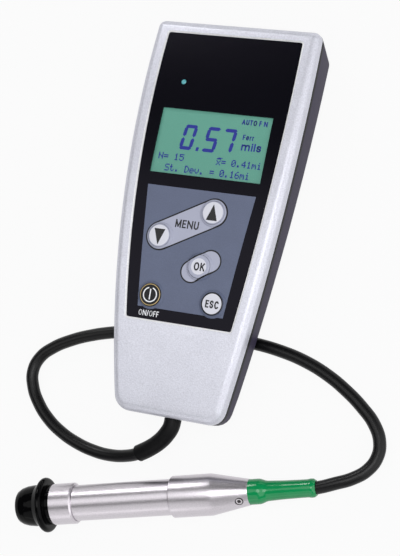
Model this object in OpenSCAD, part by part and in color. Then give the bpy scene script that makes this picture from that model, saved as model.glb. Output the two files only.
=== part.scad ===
// Hand-held coating thickness gauge with a wired probe.
// It lies on its back: Z = 0 is the rest face, +Z is the display side, +Y the display end.

/* [Housing] */
// Length of the housing
body_len = 163; // [160:1:166]
// Half of the housing's greatest width
half_w = 36.25; // [35.5:0.25:38]
// Place along Y of the greatest width
wide_y = 53.5; // [50:0.5:58]
// Radius of the bowed sides, seen from above
side_r = 690; // [660:10:760]
// Height of the front face above the rest face at mid length
crown_h = 26; // [26:0.25:28]
// Radius of the arched front face, seen from the side
face_r = 570; // [540:10:640]
// Corner radius at the display end, seen from above
top_corner_r = 3; // [2.5:0.25:5]
// Corner radius at the cable end, seen from above
bottom_corner_r = 7; // [6:0.5:9]
// Rounding of the front shell's long edges
edge_r = 3.2; // [2.6:0.1:3.4]
// Depth of the parting line below the front face
part_depth = 6; // [5.6:0.1:6.4]
// Width of the shadow gap at the parting line
seam = 0.5; // [0.3:0.1:0.6]
// Wall thickness of both shells
wall = 2; // [1.8:0.1:2.2]
// Height of the rear shell's side band at mid length
band_h = 11.75; // [11.25:0.25:12]
// Growth of that band towards the display end, for each millimetre
band_grow = 0.04; // [0.035:0.005:0.045]
// Lift of the rear shell's grip above the rest face
grip_lift = 6.5; // [6:0.25:6.75]
// Place along Y where the rear shell steps up to its grip
grip_y = -14; // [-18:1:-12]
// Place along Y where the rear shell's end bevel meets the side band
bevel_y = 74.5; // [73:0.5:75.5]

/* [Front panel] */
// Display end of the black panel
panel_top = 76; // [75:0.25:76.5]
// Cable end of the black panel
panel_bottom = -44; // [-46:0.5:-43]
// Width of the silver margin beside the panel
panel_margin = 6.4; // [6:0.1:7]
// Depth of the panel's surface below the front face
panel_sink = 0.3; // [0.2:0.05:0.4]
// Thickness of the panel
panel_t = 0.8; // [0.6:0.1:1]
// Display end of the keypad field
pad_top = 10.6; // [10:0.1:11]
// Cable end of the keypad field
pad_bottom = -39.2; // [-40:0.1:-39]
// Half width of the keypad field at its display end
pad_top_half = 23.7; // [23:0.1:24]
// Half width of the keypad field at its cable end
pad_bottom_half = 18.7; // [18:0.1:19]
// Width of the visible display
lcd_w = 48.4; // [47.5:0.1:49]
// Height of the visible display
lcd_h = 27.2; // [26.5:0.1:27.6]
// Centre of the display along Y
lcd_y = 29.7; // [29:0.1:30]

/* [Keys] */
// Radius of a key's cap
key_r = 4.7; // [4.5:0.1:4.75]
// Height of a key's cap above the panel
key_rise = 1.1; // [0.9:0.05:1.2]
// Travel of a key
key_travel = 0.5; // [0.3:0.05:0.5]
// Gap around a key
key_gap = 0.15; // [0.1:0.01:0.16]
// Radius of the raised foot around a key
key_foot_r = 5.75; // [5.6:0.05:5.8]
// Height of the raised foot around a key
key_foot_h = 0.75; // [0.6:0.05:0.8]

/* [Cable] */
// Diameter of the probe cable
cable_d = 5.2; // [4.8:0.1:5.3]
// Diameter of the bend sleeve at the housing
sleeve_d = 7; // [6.8:0.1:7.4]

/* [Probe] */
// Place along X of the probe's contact tip
probe_tip_x = -60.3; // [-61:0.1:-59.5]
// Place along Y of the probe's contact tip
probe_tip_y = -128.9; // [-129.5:0.1:-128.5]
// Heading of the probe's axis from the tip, seen from above
probe_turn = 14.1; // [13:0.1:15]
// Diameter of the rear sleeve and the front collar
probe_d = 16.8; // [16.4:0.1:17.2]
// Diameter of the barrel between them
barrel_d = 14.6; // [14.4:0.1:14.8]
// Diameter of the cap's flange
flange_d = 22.6; // [22:0.1:23]
// How far the contact tip stands out of the cap
tip_out = 0.9; // [0.7:0.1:1]

/* [Hidden] */
$fn = 64;

// Housing: its ends, and the places along Y where the outlines of its pieces are sampled
end_y = body_len / 2;
arc_steps = 32;
least_corner_r = 0.6;
front_stations = [for (y = [66:-9:-60]) y];
panel_stations = [for (y = [68:-12:-40]) y];
rear_stations = concat(
    [for (y = [60:-12:0]) y],
    [grip_y, grip_y - grip_lift],
    [for (y = [-32:-12:-68]) y]);

// Key centres on the panel
up_at = [7.2, 2];
down_at = [-14.2, -9.9];
ok_at = [5.3, -20.2];
power_at = [-13.6, -34.2];
esc_at = [13.5, -34.2];
key_places = [up_at, down_at, ok_at, power_at, esc_at];
led_at = [-17.8, 55];
led_r = 1.05;
pad_t = 0.3;

// Panel and keys: corner of the panel, lip around it, edge of a key's cap, its flange and stem
panel_corner_r = 0.8;
panel_lip = 0.6;
key_crown = 1;
key_flange_w = 0.8;
key_flange_z = [-3, -2.35];
key_stem_r = 1.7;

// Display: glass under the window, in a frame on the board
lcd_size = [lcd_w, lcd_h];
lcd_t = 2;
lcd_drop = panel_sink + panel_t + 0.35;
lcd_frame_size = [56, 37, 2.7];

// Circuit board
board_z = 17.2;
board_t = 1.6;
board_top_z = board_z + board_t;
board_half_w = 21;
board_ends = [-57, 68];
switch_h = 1.9;
board_posts = [[17.5, 62], [-17.5, 62], [17, -50], [-17, -50]];
case_posts = [[25.5, 63], [-25.5, 63], [15, -68], [-15, -68]];
case_post_z = 14.2;
case_post_r = 3.2;
case_boss_r = 3.4;
case_boss_z = 13.9;
case_hole_r = 1.6;
case_recess_r = 3;
case_thread_r = 1.25;
board_post_r = 2.2;
board_thread_r = 0.8;
connector_size = [12, 8];
connector_at = [0, -56];
connector_z = 9.6;

// Battery bay and its door
cell_r = 7.05;
cell_len = 50;
cell_y = 34;
cell_x = cell_r + 0.5;
cell_z = 9.7;
contact_y = [6.6, 61.4];
contact_side = 11;
door_sink = 0.4;
door_t = 1.8;
door_half_w = 16.2;
door_y = 5.5;
door_gap = 0.3;
door_top_z = door_sink + door_t + door_gap;
rail = [1.4, 0.8];
rail_len = 56;
rib_x = 18.4;
rib = [4, 66, 3.4];
bay_end_y = [3.7, 63.8];
bay_end = [34, 1.6, 11];

// Cable route, from the connector inside the housing to inside the probe's boot
gland_z = 10.4;
lie = cable_d / 2;
cable_route = [
    [0, -60, 12.4], [0, -66, 12.4], [0, -75, gland_z], [0, -end_y - 1.2, gland_z],
    [-0.3, -85, 10.3], [-1.6, -87.8, 10], [-4.3, -91.3, 9.3], [-8.7, -94.9, 8.2],
    [-13.6, -97.8, 6.8], [-20, -99.9, 5], [-28, -100.9, 3.5], [-36, -100.4, lie + 0.2],
    [-44.1, -98.6, lie], [-52.2, -95.4, lie], [-59.3, -91, lie], [-65.3, -85.2, lie],
    [-69.5, -78.6, lie], [-71, -72, lie], [-68.9, -65.9, lie], [-63.8, -61, lie],
    [-56.3, -56.7, lie], [-47, -53, lie], [-36, -50, lie], [-22, -47.2, lie],
    [-6, -45.6, lie], [10, -45, lie], [25, -45.4, lie], [38, -46.9, lie],
    [49, -49.5, lie], [58.5, -53.2, lie], [67, -57.9, lie], [75.1, -63.7, lie],
    [81.3, -69.7, lie + 0.1], [84.5, -75.8, 3], [84.8, -81.6, 3.7], [82.2, -87.2, 4.6],
    [77.2, -91.5, 5.5], [70.6, -94.8, 6.4]];
cable_sides = 12;
cable_bore_r = cable_d / 2 + 0.06;
sleeve_span = [3, 8];
gland_r = 3.05;
gland_flange_r = 3.45;
gland_flange_x = [-4.6, -3.05];
gland_out = 1.1;

// Stations along the probe's axis, measured from the contact tip
flange_x = [10.5, 14.1];
flange_mid_x = (flange_x[0] + flange_x[1]) / 2;
ring_x = [14.4, 16.6];
collar_x = 26.2;
barrel_back_x = 77;
sleeve_x = [68.3, 84.9, 100.8];
grub_x = 97.2;
boot_root_x = 94;
boot_head_x = 104.4;
boot_neck_x = 108.5;
boot_x = 127.9;
bush_x = [4.5, 24];
plunger_x = [3.6, 31];
plunger_flange_x = 26;
core_x = 18;
seat_x = [43, 46];

// Radii on the probe, and the slope at which it lies on its flange and its sleeve
tip_r = 1.9;
tip_hole_r = 2.3;
nose = [[0, 6.2], [0.4, 6.7], [2, 7.6], [4.2, 8.2], [7, 8.5]];
cap_r = 8.5;
flange_round = 1.4;
bore_r = barrel_d / 2 - 1.3;
bush_r = 5;
plunger_r = 4;
plunger_flange_r = 5.4;
core_r = 1.4;
coil_bore_r = 3.2;
sleeve_end_r = 5.2;
sleeve_bore_r = 4;
boot_neck_r = 4.05;
grub_r = 1.7;
grub_lean = 40;
fit = 0.02;
probe_drop = atan((flange_d - probe_d) / 2 / (sleeve_x[1] - flange_mid_x));
probe_z = flange_d / 2 / cos(probe_drop) + flange_mid_x * tan(probe_drop);

// Height of the front face, of the parting line, of the side band's foot and of the back at y
function face_z(y) = crown_h - face_r + sqrt(face_r * face_r - y * y);
function part_z(y) = face_z(y) - part_depth;
function band_z(y) = part_z(y) - band_h - band_grow * y;
function back_z(y) = min(max(grip_y - y, 0), grip_lift);
// Tilt of the front face about X at y
function face_tilt(y) = -asin(y / face_r);
// Half width at y of an outline that lies a distance inside the housing's side
function side_x(y, inset) = half_w - side_r + sqrt(pow(side_r - inset, 2) - pow(y - wide_y, 2));
function polar(r, a) = [r * cos(a), r * sin(a)];

// Right half of a plan outline from the display end down: corner arc, bowed side, corner arc
function half_outline(inset, top, bottom, r_top, r_bottom, stations, steps = 5) =
    let (
        c_top = [side_x(top - r_top, inset + r_top), top - r_top],
        c_bottom = [side_x(bottom + r_bottom, inset + r_bottom), bottom + r_bottom],
        a_top = asin((c_top.y - wide_y) / (side_r - inset - r_top)),
        a_bottom = asin((c_bottom.y - wide_y) / (side_r - inset - r_bottom)))
    concat(
        [for (i = [0:steps]) c_top + polar(r_top, 90 + (a_top - 90) * i / steps)],
        [for (y = stations) [side_x(y, inset), y]],
        [for (i = [0:steps]) c_bottom + polar(r_bottom, a_bottom - (90 + a_bottom) * i / steps)]);

// Whole outline: the right half and its mirror image
function mirrored(p) = [for (k = [0:len(p) - 1]) k == 0 ? -p[k] : p[k]];
function whole(half) = concat(half, [for (i = [len(half) - 1:-1:0]) mirrored(half[i])]);

// Corner radius of an outline a distance inside a corner of radius r
function inner_r(r, inset) = max(r - inset, least_corner_r);

// Ring of the front shell: an outline a distance inside the housing, a drop below the face
function front_ring(inset, drop) =
    [for (p = half_outline(inset, end_y - inset, inset - end_y, inner_r(top_corner_r, inset),
        inner_r(bottom_corner_r, inset), front_stations)) [p.x, p.y, face_z(p.y) - drop]];

// Outline of a rear shell ring: its own place for each end
function rear_outline(inset, top, bottom) =
    half_outline(inset, top, bottom, inner_r(top_corner_r, inset), inner_r(bottom_corner_r, inset),
        rear_stations);
// Ring of the rear shell that follows the parting line
function seam_ring(inset, lift) =
    [for (p = rear_outline(inset, end_y - inset, inset - end_y)) [p.x, p.y, part_z(p.y) + lift]];
// Ring at a share of the way from the side band's foot to the back
function foot_ring(inset, top, bottom, lift, share) =
    [for (p = rear_outline(inset, top, bottom))
        [p.x, p.y, lift + max(band_z(p.y), back_z(p.y) + 0.4) * (1 - share) + back_z(p.y) * share]];

// Closed solid through matching half rings, capped across its first and last ring
module loft(rings) {
    n = len(rings[0]);
    m = 2 * n;
    last = (len(rings) - 1) * m;
    walls = [for (k = [0:len(rings) - 2]) for (j = [0:m - 1])
        let (a = k * m + j, b = k * m + (j + 1) % m)
        each [[a, b, a + m], [b, b + m, a + m]]];
    first_cap = [for (i = [0:n - 2])
        each [[i, m - 1 - i, i + 1], [i + 1, m - 1 - i, m - 2 - i]]];
    last_cap = [for (f = first_cap) [f[0] + last, f[2] + last, f[1] + last]];
    polyhedron(points = [for (r = rings) each whole(r)], faces = concat(walls, first_cap, last_cap));
}

// Plate that follows the arched face between two depths, cut to a plan outline
module arched(outline, depth_a, depth_b) {
    arc_y = [for (i = [0:arc_steps]) end_y - i * body_len / arc_steps];
    intersection() {
        linear_extrude(height = 2 * crown_h)
            polygon(outline);
        translate([-half_w, 0, 0])
            rotate([90, 0, 90])
                linear_extrude(height = 2 * half_w)
                    polygon(concat([for (y = arc_y) [y, face_z(y) - depth_a]],
                        [for (i = [arc_steps:-1:0]) [arc_y[i], face_z(arc_y[i]) - depth_b]]));
    }
}

// Places children on the front face at a point of the plan, square to the face
module on_face(at) {
    translate([at.x, at.y, face_z(at.y)])
        rotate([face_tilt(at.y), 0, 0])
            children();
}

// Places children at each listed point of the plan
module at_each(places) {
    for (p = places)
        translate([p.x, p.y, 0])
            children();
}

// Plan outlines of the display, the panel and the keypad field, grown by a distance
function box_outline(size, y) = whole([size / 2 + [0, y], [size.x / 2, y - size.y / 2]]);
function panel_outline(grow) =
    whole(half_outline(panel_margin - grow, panel_top + grow, panel_bottom - grow, panel_corner_r,
        panel_corner_r, panel_stations, 2));
function pad_outline(grow) =
    whole([[pad_top_half + grow, pad_top + grow], [pad_bottom_half + grow, pad_bottom - grow]]);

module key_holes(r) {
    for (p = key_places)
        on_face(p)
            translate([0, 0, -4])
                cylinder(h = 6, r = r);
}

// Posts that hang from the front shell's ceiling down to a height
module posts(places, z, r) {
    for (p = places)
        translate([p.x, p.y, z])
            cylinder(h = face_z(p.y) - panel_sink - panel_t - 0.5 - z, r = r);
}

module front_shell() {
    rings = concat(
        [front_ring(edge_r + 1.2, wall + 0.2), front_ring(wall - 0.2, edge_r + 0.4),
         front_ring(wall - 0.2, part_depth - seam / 2), front_ring(0, part_depth - seam / 2)],
        [for (a = [0:18:90]) front_ring(edge_r * (1 - cos(a)), edge_r * (1 - sin(a)))]);
    color("silver")
        difference() {
            union() {
                loft(rings);
                posts(case_posts, case_post_z, case_post_r);
                posts(board_posts, board_top_z, board_post_r);
            }
            arched(panel_outline(0.15), -2, panel_sink + panel_t + 0.02);
            arched(panel_outline(panel_lip), -2, panel_sink);
            arched(box_outline(lcd_size + [2, 2], lcd_y), -1, 6);
            key_holes(key_r + key_gap);
            on_face(led_at)
                translate([0, 0, -6])
                    cylinder(h = 8, r = led_r + 0.1);
            at_each(case_posts)
                translate([0, 0, case_post_z - 1])
                    cylinder(h = 4.5, r = case_thread_r);
            at_each(board_posts)
                translate([0, 0, board_top_z - 1])
                    cylinder(h = 2, r = board_thread_r);
        }
}

// Rings run from the back up the outside to the parting line, over its lip and down the inside
module rear_shell() {
    rings = [
        foot_ring(8, bevel_y - 4, 6 - end_y, 0, 1),
        foot_ring(6.8, bevel_y - 3.3, 4.5 - end_y, 0, 0.9),
        foot_ring(1.1, bevel_y - 0.3, 1.1 - end_y, 0, 0.12),
        foot_ring(0.45, bevel_y + 0.35, 0.45 - end_y, 0.35, 0),
        foot_ring(0.3, bevel_y + 0.9, 0.3 - end_y, 1.2, 0),
        seam_ring(0, -seam / 2),
        seam_ring(wall + 0.05, -seam / 2),
        seam_ring(wall + 0.05, 1.5),
        seam_ring(wall + 0.95, 1.5),
        seam_ring(wall + 0.95, -1.5),
        seam_ring(wall + 0.1, -2.6),
        foot_ring(wall + 0.6, bevel_y - 0.8, 2.7 - end_y, 1.6, 0),
        foot_ring(8.6, bevel_y - 4.6, 7.4 - end_y, wall, 1)];
    color("dimgray")
        difference() {
            union() {
                loft(rings);
                for (p = case_posts)
                    translate([p.x, p.y, back_z(p.y) + 1])
                        cylinder(h = case_boss_z - back_z(p.y) - 1, r = case_boss_r);
                for (s = [-1, 1])
                    translate([s * rib_x - rib.x / 2, door_y - 3, 1])
                        cube(rib);
                for (y = bay_end_y)
                    translate([-bay_end.x / 2, y, door_top_z])
                        cube(bay_end);
            }
            translate([-door_half_w - door_gap, door_y, -1])
                cube([2 * (door_half_w + door_gap), end_y, door_top_z + 1]);
            translate([-door_half_w, door_y + 2, 0])
                cube([2 * door_half_w, rail_len, 12]);
            translate([-door_half_w - rail.x - door_gap, door_y, door_top_z - rail.y - 2 * door_gap])
                cube([2 * (door_half_w + rail.x + door_gap), end_y, rail.y + 2 * door_gap]);
            at_each(case_posts)
                translate([0, 0, -1])
                    cylinder(h = 20, r = case_hole_r);
            for (p = case_posts)
                translate([p.x, p.y, back_z(p.y) - 1])
                    cylinder(h = 4, r = case_recess_r);
            translate([0, 5 - end_y, gland_z])
                rotate([90, 0, 0])
                    cylinder(h = 10, r = gland_r + 0.03);
            translate([0, 12 - end_y, gland_z])
                rotate([90, 0, 0])
                    cylinder(h = 9, r = gland_flange_r + 0.05);
        }
}

module overlay_panel() {
    color("black")
        difference() {
            arched(panel_outline(0), panel_sink, panel_sink + panel_t);
            arched(pad_outline(0.05), -1, panel_sink + pad_t + 0.02);
            arched(box_outline(lcd_size + [0.2, 0.2], lcd_y), -1, 3);
            key_holes(key_r + key_gap);
            on_face(led_at)
                translate([0, 0, -4])
                    cylinder(h = 6, r = led_r + 0.1);
        }
}

module keypad_sheet() {
    inner = key_r + key_gap;
    slope = [[0, 0.02], [0.3, 0.45 * key_foot_h], [0.6, 0.85 * key_foot_h]];
    foot = concat(
        [[inner, -0.15], [inner + 0.1, -0.15], [inner + 0.15, 0.02]],
        [for (p = slope) [key_foot_r - p.x, p.y]],
        [[inner + 0.1, key_foot_h], [inner, key_foot_h]]);
    color("slategray") {
        difference() {
            arched(pad_outline(0), panel_sink, panel_sink + pad_t);
            key_holes(key_r + key_gap);
        }
        for (p = key_places)
            on_face(p)
                translate([0, 0, -panel_sink])
                    rotate_extrude()
                        polygon(foot);
    }
}

module display_window() {
    color("palegreen", 0.5)
        arched(box_outline(lcd_size, lcd_y), panel_sink, panel_sink + panel_t);
}

module lcd_glass() {
    color("mediumseagreen")
        on_face([0, lcd_y])
            translate([0, 0, -lcd_drop - lcd_t / 2])
                cube([lcd_size.x + 1.4, lcd_size.y + 1.4, lcd_t], center = true);
}

module lcd_frame() {
    color("gainsboro")
        difference() {
            translate([0, lcd_y, board_top_z + lcd_frame_size.z / 2])
                cube(lcd_frame_size, center = true);
            on_face([0, lcd_y])
                translate([0, 0, -lcd_drop - 0.5])
                    cube([lcd_size.x + 1.6, lcd_size.y + 1.6, lcd_t + 1.1], center = true);
        }
}

module main_board() {
    color("darkgreen")
        difference() {
            translate([-board_half_w, board_ends[0], board_z])
                cube([2 * board_half_w, board_ends[1] - board_ends[0], board_t]);
            at_each(board_posts)
                translate([0, 0, board_z - 1])
                    cylinder(h = board_t + 2, r = 1.1);
        }
}

// Chip on the board's underside
module chip(at, size) {
    translate([at.x - size.x / 2, at.y - size.y / 2, board_z - size.z])
        cube(size);
}

module board_chips() {
    color("dimgray") {
        chip([-8, -6], [14, 14, 1.6]);
        chip([10, -6], [10, 6, 1.5]);
        chip([10, -16], [8, 8, 1.5]);
        chip([-10, -40], [6, 5, 1.5]);
    }
}

module tact_switches() {
    color("lightgray")
        at_each(key_places)
            translate([0, 0, board_top_z]) {
                translate([-3, -3, 0])
                    cube([6, 6, switch_h - 0.5]);
                cylinder(h = switch_h, r = 1.5);
            }
}

// Key: domed cap in its hole, retaining flange under the shell and a stem to its switch
module key(at) {
    stem = face_z(at.y) - board_top_z - switch_h - key_travel - 0.15;
    foot = key_foot_h - panel_sink;
    top = key_rise - panel_sink;
    on_face(at)
        rotate_extrude()
            polygon(concat(
                [[0, -stem], [key_stem_r, -stem], [key_stem_r, key_flange_z[0]],
                 [key_r + key_flange_w, key_flange_z[0]], [key_r + key_flange_w, key_flange_z[1]],
                 [key_r, key_flange_z[1]]],
                [for (a = [0:18:90])
                    [key_r - key_crown * (1 - cos(a)), foot + (top - 0.06 - foot) * sin(a)]],
                [[0, top]]));
}

module key_up() {
    color("gainsboro")
        key(up_at);
}

module key_down() {
    color("gainsboro")
        key(down_at);
}

module key_ok() {
    color("gainsboro")
        key(ok_at);
}

module key_power() {
    color("black")
        key(power_at);
}

module key_esc() {
    color("white")
        key(esc_at);
}

module indicator_led() {
    color("teal")
        on_face(led_at)
            rotate_extrude()
                polygon([[0, -4.3], [1.6, -4.3], [1.6, -3.4], [led_r, -3.4], [led_r, -panel_sink - 0.2],
                    [0.7, -panel_sink], [0, -panel_sink + 0.08]]);
}

module board_screws() {
    color("silver")
        at_each(board_posts)
            translate([0, 0, board_z]) {
                translate([0, 0, -1.4])
                    cylinder(h = 1.4, r = 1.9);
                cylinder(h = board_t + 1, r = 0.8);
            }
}

module case_screws() {
    color("silver")
        for (p = case_posts)
            translate([p.x, p.y, back_z(p.y) + 1])
                difference() {
                    union() {
                        cylinder(h = 2, r = 2.7);
                        cylinder(h = case_post_z + 2.4 - back_z(p.y), r = case_thread_r - 0.03);
                    }
                    translate([0, 0, -0.5])
                        cylinder(h = 1.7, r = 1.2, $fn = 6);
                }
}

module battery_door() {
    color("dimgray")
        difference() {
            union() {
                translate([-door_half_w, door_y + door_gap, door_sink])
                    cube([2 * door_half_w, end_y - door_y, door_t]);
                translate([-door_half_w - rail.x, door_y + door_gap, door_sink + door_t - rail.y])
                    cube([2 * (door_half_w + rail.x), rail_len, rail.y]);
            }
            translate([-half_w, bevel_y - 2.5, 0])
                rotate([-57, 0, 0])
                    translate([0, 0, -10])
                        cube([2 * half_w, 30, 30]);
            for (i = [0:4])
                translate([-8, 54 + 2.4 * i, door_sink - 0.5])
                    cube([16, 1, 1.1]);
        }
}

module battery_cells() {
    color("goldenrod")
        for (s = [-1, 1])
            translate([s * cell_x, cell_y, cell_z])
                rotate([s * 90, 0, 0])
                    translate([0, 0, -cell_len / 2])
                        rotate_extrude()
                            polygon([[0, 0], [cell_r - 0.6, 0], [cell_r, 0.6], [cell_r, cell_len - 2],
                                [cell_r - 0.6, cell_len - 1.4], [2.75, cell_len - 1.4], [2.75, cell_len],
                                [0, cell_len]]);
}

module battery_contacts() {
    color("silver")
        for (s = [-1, 1])
            for (end = [0, 1])
                translate([s * cell_x, contact_y[end], cell_z]) {
                    cube([contact_side, 0.5, contact_side], center = true);
                    rotate([180 * end - 90, 0, 0])
                        rotate_extrude()
                            polygon([[0, 0.2], [3.6, 0.2], [1.9, 1.9], [0, 1.9]]);
                }
}

module buzzer() {
    color("black")
        translate([0, -30, board_z - 4])
            difference() {
                cylinder(h = 4, r = 6);
                translate([0, 0, -0.5])
                    cylinder(h = 1.5, r = 1);
            }
}

module cable_connector() {
    color("ivory")
        difference() {
            translate([connector_at.x, connector_at.y, (connector_z + board_z) / 2])
                cube([connector_size.x, connector_size.y, board_z - connector_z], center = true);
            for (x = [-3.75:2.5:3.75])
                translate([x - 0.5, connector_at.y + connector_size.y / 2 - 0.8, connector_z + 1])
                    cube([1, 2, 1]);
        }
}

module cable_gland() {
    color("black")
        translate([0, -end_y, gland_z])
            rotate([90, 0, 0])
                rotate_extrude()
                    polygon([[cable_bore_r, gland_flange_x[0]], [gland_flange_r, gland_flange_x[0]],
                        [gland_flange_r, gland_flange_x[1]], [gland_r, gland_flange_x[1]],
                        [gland_r, 0.05], [sleeve_d / 2, 0.05], [sleeve_d / 2, gland_out],
                        [cable_bore_r, gland_out]]);
}

// Ring of points around a route's point, square to the route
function ring_at(route, i, r) =
    let (
        along = route[min(i + 1, len(route) - 1)] - route[max(i - 1, 0)],
        t = along / norm(along),
        flat = cross(t, [0, 0, 1]),
        side = flat / norm(flat),
        up = cross(side, t))
    [for (j = [0:cable_sides - 1])
        let (a = 360 * j / cable_sides) route[i] + r * (cos(a) * side + sin(a) * up)];

// Faces of the wall between consecutive rings
function tube_faces(rings, first = 0, flip = false) =
    [for (k = [0:rings - 2]) for (j = [0:cable_sides - 1])
        let (a = first + k * cable_sides + j, b = first + k * cable_sides + (j + 1) % cable_sides)
        each flip
            ? [[a, a + cable_sides, b], [b, a + cable_sides, b + cable_sides]]
            : [[a, b, a + cable_sides], [b, b + cable_sides, a + cable_sides]]];

// Faces of a tube's end between its outer and its inner ring
function end_faces(first, inner, flip) =
    [for (j = [0:cable_sides - 1])
        let (a = first + j, b = first + (j + 1) % cable_sides)
        each flip
            ? [[a, b, inner + a], [b, inner + b, inner + a]]
            : [[a, inner + a, b], [b, inner + a, inner + b]]];

module cable_tube(route, r) {
    rings = len(route);
    polyhedron(
        points = [for (i = [0:rings - 1]) each ring_at(route, i, r)],
        faces = concat(
            tube_faces(rings),
            [[for (j = [cable_sides - 1:-1:0]) j],
             [for (j = [0:cable_sides - 1]) (rings - 1) * cable_sides + j]]));
}

// Probe frame: the axis runs along X from the contact tip
module on_probe() {
    translate([probe_tip_x, probe_tip_y, probe_z])
        rotate([0, 0, probe_turn])
            rotate([0, probe_drop, 0])
                children();
}

// Solid turned about the probe's axis from points of [station, radius]
module turned(profile) {
    on_probe()
        rotate([90, 0, 90])
            rotate_extrude()
                polygon([for (p = profile) [p.y, p.x]]);
}

// A point on the probe's axis
function probe_point(x) =
    [probe_tip_x, probe_tip_y, probe_z]
    + x * [cos(probe_turn) * cos(probe_drop), sin(probe_turn) * cos(probe_drop), -sin(probe_drop)];

whole_route = concat(cable_route, [for (x = [boot_x, 115, 104]) probe_point(x)]);

module probe_cable() {
    color("black")
        cable_tube(whole_route, cable_d / 2);
}

module bend_sleeve() {
    span = [for (i = [sleeve_span[0] - 1:sleeve_span[1] + 1]) whole_route[i]];
    rings = len(span) - 2;
    inner = rings * cable_sides;
    last = (rings - 1) * cable_sides;
    color("black")
        polyhedron(
            points = [for (r = [sleeve_d / 2, cable_bore_r]) for (i = [1:rings]) each ring_at(span, i, r)],
            faces = concat(
                tube_faces(rings),
                tube_faces(rings, inner, true),
                end_faces(0, inner, false),
                end_faces(last, inner, true)));
}

module probe_cap() {
    color("black")
        turned(concat(
            [[tip_out, tip_hole_r]],
            [for (p = nose) [tip_out + p.x, p.y]],
            [[flange_x[0] - 1.2, cap_r], [flange_x[0] - 0.2, cap_r + 0.7]],
            [for (a = [0:22.5:180])
                [flange_mid_x + 0.4 - flange_round * cos(a), flange_d / 2 - flange_round * (1 - sin(a))]],
            [[flange_x[1], cap_r], [ring_x[0], cap_r], [ring_x[0], bore_r - 0.05],
             [bush_x[1], bore_r - 0.05], [bush_x[1], bush_r + 0.03], [3, bush_r + 0.03], [3, tip_hole_r]]));
}

module cap_ring() {
    outer = cap_r - 0.3;
    color("black")
        turned([[ring_x[0], bore_r], [ring_x[0], outer], [ring_x[1], outer], [ring_x[1], bore_r]]);
}

module probe_collar() {
    inner = barrel_d / 2 + fit;
    outer = probe_d / 2;
    color("gainsboro")
        turned([[ring_x[1], inner], [ring_x[1], outer], [collar_x - 0.6, outer], [collar_x, outer - 0.6],
            [collar_x, inner]]);
}

module probe_barrel() {
    outer = barrel_d / 2;
    color("gainsboro")
        turned([[ring_x[1], bore_r], [ring_x[1], outer], [barrel_back_x, outer], [barrel_back_x, bore_r]]);
}

// Places children on the sleeve's taper, their Z along the set screw
module on_grub() {
    on_probe()
        translate([grub_x, 0, 0])
            rotate([grub_lean, 0, 0])
                children();
}

module probe_sleeve() {
    socket_r = barrel_d / 2 + fit;
    outer = probe_d / 2;
    color("gainsboro")
        difference() {
            turned([[sleeve_x[0], socket_r], [sleeve_x[0], outer - 0.4], [sleeve_x[0] + 0.4, outer],
                [sleeve_x[1], outer], [sleeve_x[2], sleeve_end_r], [sleeve_x[2], sleeve_bore_r],
                [barrel_back_x, sleeve_bore_r], [barrel_back_x, socket_r]]);
            on_grub()
                cylinder(h = 12, r = grub_r);
        }
}

module grub_screw() {
    color("dimgray")
        on_grub()
            translate([0, 0, sleeve_bore_r + 0.05])
                difference() {
                    cylinder(h = 1.7, r = grub_r);
                    translate([0, 0, 0.7])
                        cylinder(h = 2, r = grub_r / 2, $fn = 6);
                }
}

module cable_boot() {
    root_r = sleeve_bore_r - 0.05;
    head_r = sleeve_end_r - 0.1;
    color("green")
        turned(concat(
            [[boot_root_x, cable_bore_r], [boot_root_x, root_r], [sleeve_x[2], root_r],
             [sleeve_x[2], head_r]],
            [for (i = [0:6])
                [boot_head_x + (boot_neck_x - boot_head_x) * i / 6,
                 (head_r + boot_neck_r) / 2 + (head_r - boot_neck_r) / 2 * cos(30 * i)]],
            [[114.5, 3.75], [boot_x - 6, 3.6], [boot_x - 3.4, 3.6], [boot_x - 2, 3.8], [boot_x - 0.9, 3.7],
             [boot_x, 3.1], [boot_x, cable_bore_r]]));
}

module guide_bush() {
    inner = plunger_r + 0.04;
    color("peru")
        turned([[bush_x[0], inner], [bush_x[0], bush_r], [bush_x[1], bush_r], [bush_x[1], inner]]);
}

module contact_tip() {
    color("silver")
        turned(concat(
            [for (a = [0:18:90]) [tip_r * (1 - cos(a)), tip_r * sin(a)]],
            [[plunger_x[0], tip_r], [plunger_x[0], core_r], [core_x, core_r], [core_x, 0]]));
}

module tip_plunger() {
    front = bush_x[1] + 0.05;
    inner = core_r + fit;
    color("darkgray")
        turned([[plunger_x[0], inner], [plunger_x[0], plunger_r], [front, plunger_r],
            [front, plunger_flange_r], [plunger_flange_x, plunger_flange_r], [plunger_flange_x, plunger_r],
            [plunger_x[1], plunger_r], [plunger_x[1], 0], [core_x + 0.1, 0], [core_x + 0.1, coil_bore_r],
            [5, coil_bore_r], [5, inner]]);
}

module coil_bobbin() {
    inner = core_r + fit;
    outer = coil_bore_r - 0.05;
    color("ivory")
        turned([[5.1, inner], [5.1, outer], [6.3, outer], [6.3, 1.9], [11, 1.9], [11, outer],
            [12.2, outer], [12.2, 1.9], [16.8, 1.9], [16.8, outer], [core_x, outer], [core_x, inner]]);
}

module sensor_coils() {
    color("chocolate")
        for (span = [[6.35, 10.95], [12.25, 16.75]])
            turned([[span[0], 1.95], [span[0], 3], [span[1], 3], [span[1], 1.95]]);
}

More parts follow.
